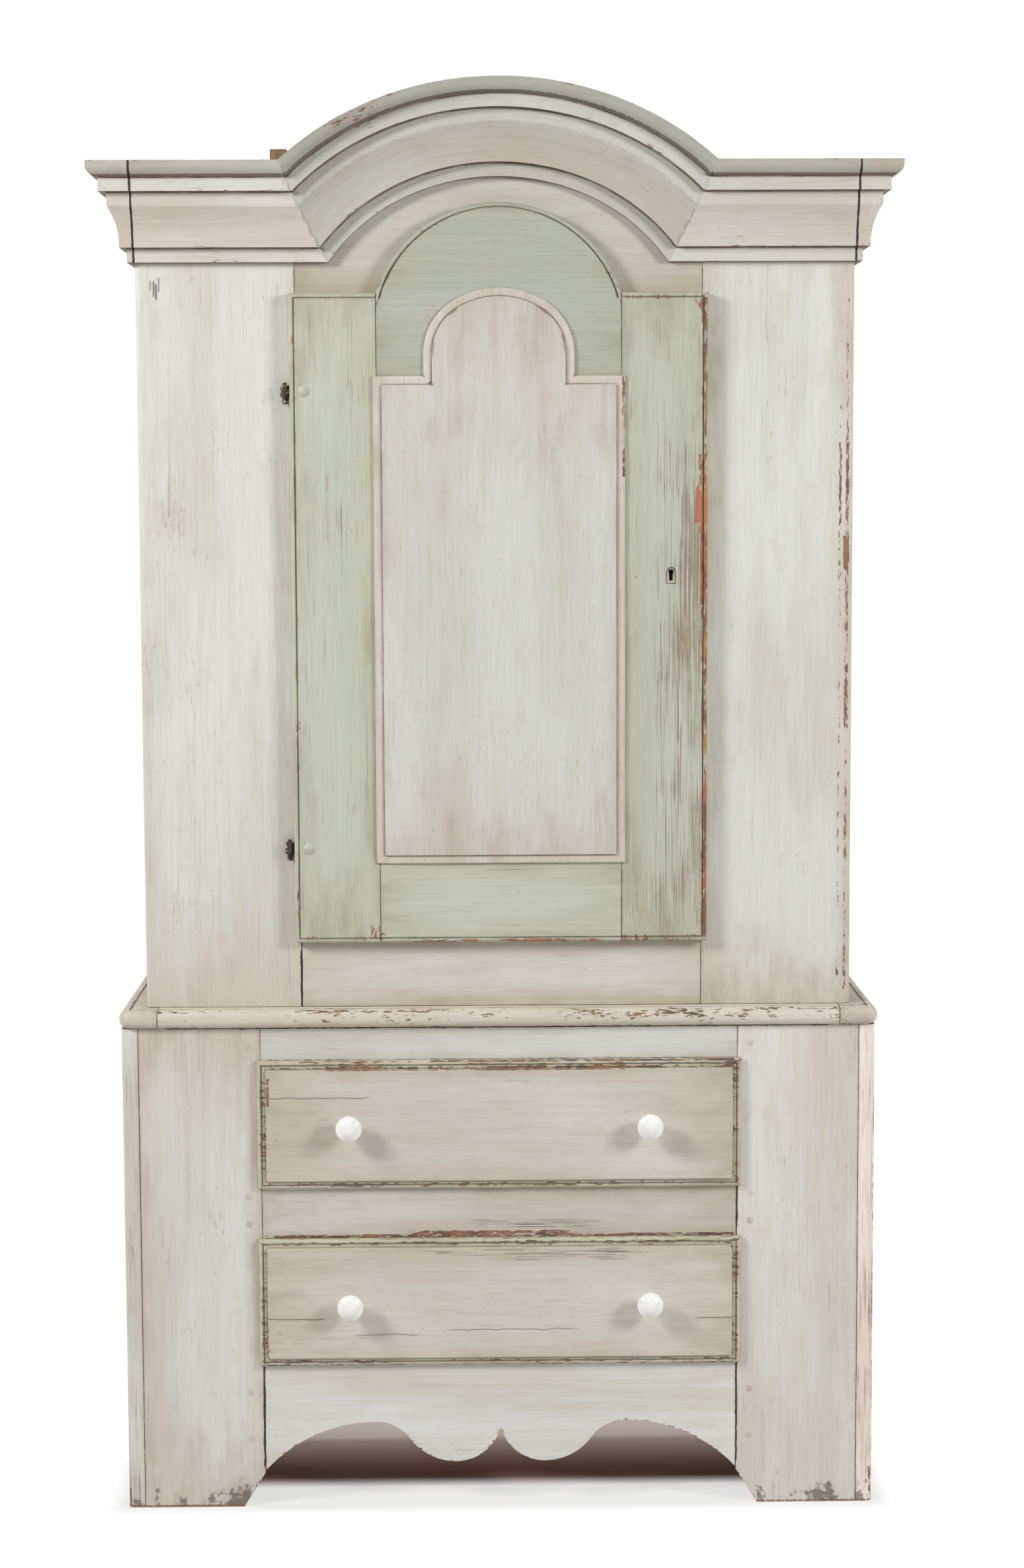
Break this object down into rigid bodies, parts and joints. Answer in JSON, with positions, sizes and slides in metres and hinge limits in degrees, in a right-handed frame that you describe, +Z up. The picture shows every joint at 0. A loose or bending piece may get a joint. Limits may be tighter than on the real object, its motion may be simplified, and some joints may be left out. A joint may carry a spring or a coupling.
{
  "type": "bonnetiere cabinet",
  "caption": "Painted two-part cupboard with an arched lipped door over lipped drawers, a scalloped apron on bracket feet, and a cornice that rises in an arch over the door.",
  "frame": {"origin": "on the floor, midway between the sides and midway between the knob fronts and the back", "axes": "+Z up, +Y towards the back, +X to the right of a person facing the front"},
  "size_m": [1.14, 0.5464, 2.0522],
  "materials": {
    "white_paint": "worn chalky paint",
    "green_paint": "worn chalky paint",
    "bare_wood": "unpainted pine",
    "iron": "dark wrought iron",
    "porcelain": "glazed porcelain",
    "escutcheon": "painted inlay"
  },
  "bodies": {
    "cabinet": {"base_side_left": "white_paint", "base_side_right": "white_paint", "base_stile_left": "white_paint", "base_stile_right": "white_paint", "base_top_rail": "white_paint", "base_middle_rail": "white_paint", "base_apron": "white_paint", "base_top_board": "bare_wood", "base_back_lower": "bare_wood", "base_back_upper": "bare_wood", "upper_drawer_runners": "bare_wood", "lower_drawer_runners": "bare_wood", "frame_pegs": "white_paint", "waist_moulding_front": "white_paint", "waist_moulding_left": "white_paint", "waist_moulding_right": "white_paint", "case_side_left": "white_paint", "case_side_right": "white_paint", "case_stile_left": "white_paint", "case_stile_right": "white_paint", "case_bottom_rail": "white_paint", "case_tympanum": "white_paint", "case_top_board": "bare_wood", "case_bottom_board": "bare_wood", "case_back_left": "bare_wood", "case_back_middle": "bare_wood", "case_back_right": "bare_wood", "shelf_lower": "bare_wood", "shelf_middle": "bare_wood", "shelf_upper": "bare_wood", "shelf_cleats": "bare_wood", "cornice_front_left": "white_paint", "cornice_front_right": "white_paint", "cornice_arch": "white_paint", "cornice_return_left": "white_paint", "cornice_return_right": "white_paint", "top_battens": "bare_wood", "hinge_pintles": "iron"},
    "door": {"door_stile_left": "green_paint", "door_stile_right": "green_paint", "door_top_rail": "green_paint", "door_bottom_rail": "green_paint", "door_panel": "white_paint", "hinge_knuckles": "iron", "hinge_rivets": "iron", "keyhole_escutcheon": "escutcheon", "lock_case": "iron"},
    "lock_bolt": {"lock_bolt": "iron"},
    "upper_drawer": {"upper_drawer_front": "white_paint", "upper_drawer_sides": "bare_wood", "upper_drawer_back": "bare_wood", "upper_drawer_bottom": "bare_wood", "upper_drawer_knobs": "porcelain", "upper_drawer_knob_bolts": "iron"},
    "lower_drawer": {"lower_drawer_front": "white_paint", "lower_drawer_sides": "bare_wood", "lower_drawer_back": "bare_wood", "lower_drawer_bottom": "bare_wood", "lower_drawer_knobs": "porcelain", "lower_drawer_knob_bolts": "iron"}
  },
  "joints": [
    {"name": "door_hinge", "type": "hinge", "parent": "cabinet", "child": "door", "pos_m": [-0.2995, -0.2138, 1.3], "axis": [0, 0, -1], "range_deg": [0, 120]},
    {"name": "upper_drawer_slide", "type": "slide", "parent": "cabinet", "child": "upper_drawer", "axis": [0, -1, 0], "range_m": [0, 0.36]},
    {"name": "lower_drawer_slide", "type": "slide", "parent": "cabinet", "child": "lower_drawer", "axis": [0, -1, 0], "range_m": [0, 0.36]},
    {"name": "lock_bolt_slide", "type": "slide", "parent": "door", "child": "lock_bolt", "axis": [1, 0, 0], "range_m": [0, 0.01]}
  ]
}
